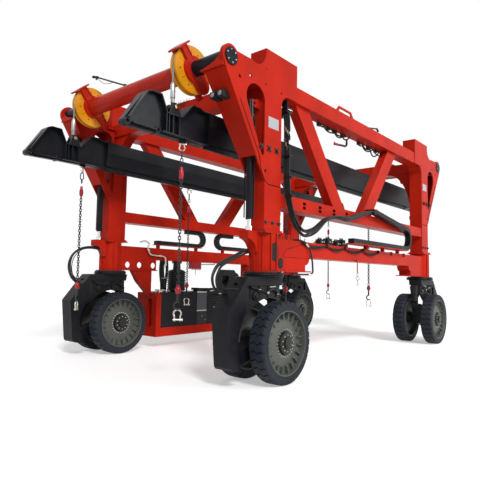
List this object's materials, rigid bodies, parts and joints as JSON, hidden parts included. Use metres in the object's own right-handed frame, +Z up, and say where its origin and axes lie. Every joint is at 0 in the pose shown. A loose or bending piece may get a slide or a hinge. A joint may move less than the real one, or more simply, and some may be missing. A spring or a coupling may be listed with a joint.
{
  "type": "container straddle carrier",
  "caption": "Straddle carrier on steered twin wheels, with telescopic legs, side frames, rope-hung lifting beams with chains and a power pack low on one side.",
  "frame": {"origin": "on the ground below the middle of the machine", "axes": "+X to the right side, +Y to the rear end (the end shown nearest in the picture is at -Y), +Z up"},
  "size_m": [4.284, 9.556, 4.4],
  "materials": {
    "red_paint": "gloss",
    "black_paint": "satin",
    "beam_paint": "satin",
    "grey_paint": "satin",
    "yellow_paint": "gloss",
    "tyre": "matte",
    "chrome": "polished",
    "chain_steel": "dull",
    "rope_steel": "dull",
    "lamp_housing": "matte",
    "hose_rubber": "satin",
    "chain_plastic": "satin",
    "cooler_grey": "satin",
    "engine_black": "matte"
  },
  "bodies": {
    "base": {"housing_front_left": "red_paint", "housing_front_right": "red_paint", "housing_rear_right": "red_paint", "housing_rear_left": "red_paint", "lower_beam_left": "red_paint", "lower_beam_right": "red_paint", "lift_rods": "chrome", "power_tray": "red_paint", "fuel_tank": "black_paint", "cooler": "cooler_grey", "engine": "engine_black", "energy_chains": "chain_plastic"},
    "upper_frame": {"leg_front_left": "red_paint", "leg_front_right": "red_paint", "leg_rear_right": "red_paint", "leg_rear_left": "red_paint", "top_beam_left": "red_paint", "top_beam_right": "red_paint", "middle_beam_left": "red_paint", "middle_beam_right": "red_paint", "diagonals_left": "red_paint", "diagonals_right": "red_paint", "cross_beam_front": "red_paint", "cross_beam_rear": "red_paint", "lift_barrels": "black_paint", "work_lamps": "lamp_housing", "hoses": "hose_rubber", "rope_falls": "rope_steel"},
    "steering_front_left": {"fork_front_left": "black_paint"},
    "wheels_front_left": {"tyres_front_left": "tyre", "rims_front_left": "grey_paint"},
    "steering_front_right": {"fork_front_right": "black_paint"},
    "wheels_front_right": {"tyres_front_right": "tyre", "rims_front_right": "grey_paint"},
    "steering_rear_right": {"fork_rear_right": "black_paint"},
    "wheels_rear_right": {"tyres_rear_right": "tyre", "rims_rear_right": "grey_paint"},
    "steering_rear_left": {"fork_rear_left": "black_paint"},
    "wheels_rear_left": {"tyres_rear_left": "tyre", "rims_rear_left": "grey_paint"},
    "hoist_front": {"hoist_shaft_front": "red_paint", "hoist_discs_front": "yellow_paint", "rope_wraps_front": "rope_steel"},
    "hoist_rear": {"hoist_shaft_rear": "red_paint", "hoist_discs_rear": "yellow_paint", "rope_wraps_rear": "rope_steel"},
    "lifting_beam_left": {"lift_beam_left": "beam_paint", "chains_left": "chain_steel"},
    "lifting_beam_right": {"lift_beam_right": "beam_paint", "chains_right": "chain_steel"}
  },
  "joints": [
    {"name": "frame_lift", "type": "slide", "parent": "base", "child": "upper_frame", "axis": [0, 0, 1], "range_m": [0, 1.2], "deforming": ["energy_chains"]},
    {"name": "steer_front_left", "type": "hinge", "parent": "base", "child": "steering_front_left", "pos_m": [-1.725, -2.846, 1.4], "axis": [0, 0, 1], "range_deg": [-90, 90]},
    {"name": "roll_front_left", "type": "hinge", "parent": "steering_front_left", "child": "wheels_front_left", "pos_m": [-1.725, -2.846, 0.525], "axis": [1, 0, 0], "continuous": true},
    {"name": "steer_front_right", "type": "hinge", "parent": "base", "child": "steering_front_right", "pos_m": [1.725, -2.846, 1.4], "axis": [0, 0, 1], "range_deg": [-90, 90]},
    {"name": "roll_front_right", "type": "hinge", "parent": "steering_front_right", "child": "wheels_front_right", "pos_m": [1.725, -2.846, 0.525], "axis": [1, 0, 0], "continuous": true},
    {"name": "steer_rear_right", "type": "hinge", "parent": "base", "child": "steering_rear_right", "pos_m": [1.725, 2.846, 1.4], "axis": [0, 0, 1], "range_deg": [-90, 90]},
    {"name": "roll_rear_right", "type": "hinge", "parent": "steering_rear_right", "child": "wheels_rear_right", "pos_m": [1.725, 2.846, 0.525], "axis": [1, 0, 0], "continuous": true},
    {"name": "steer_rear_left", "type": "hinge", "parent": "base", "child": "steering_rear_left", "pos_m": [-1.725, 2.846, 1.4], "axis": [0, 0, 1], "range_deg": [-90, 90]},
    {"name": "roll_rear_left", "type": "hinge", "parent": "steering_rear_left", "child": "wheels_rear_left", "pos_m": [-1.725, 2.846, 0.525], "axis": [1, 0, 0], "continuous": true},
    {"name": "beam_lower_left", "type": "slide", "parent": "upper_frame", "child": "lifting_beam_left", "axis": [0, 0, -1], "range_m": [0, 0.24], "deforming": ["rope_falls"]},
    {"name": "beam_lower_right", "type": "slide", "parent": "upper_frame", "child": "lifting_beam_right", "axis": [0, 0, -1], "range_m": [0, 0.24]},
    {"name": "hoist_turn_front", "type": "hinge", "parent": "upper_frame", "child": "hoist_front", "pos_m": [0, -3.72, 4.03], "axis": [1, 0, 0], "range_deg": [0, 48]},
    {"name": "hoist_turn_rear", "type": "hinge", "parent": "upper_frame", "child": "hoist_rear", "pos_m": [0, 3.72, 4.03], "axis": [1, 0, 0], "range_deg": [-48, 0]}
  ],
  "couplings": [
    {"joint": "beam_lower_right", "follows": "beam_lower_left", "ratio": 1},
    {"joint": "hoist_turn_front", "follows": "beam_lower_left", "rad_per_m": 3.3333},
    {"joint": "hoist_turn_rear", "follows": "beam_lower_left", "rad_per_m": -3.3333}
  ]
}
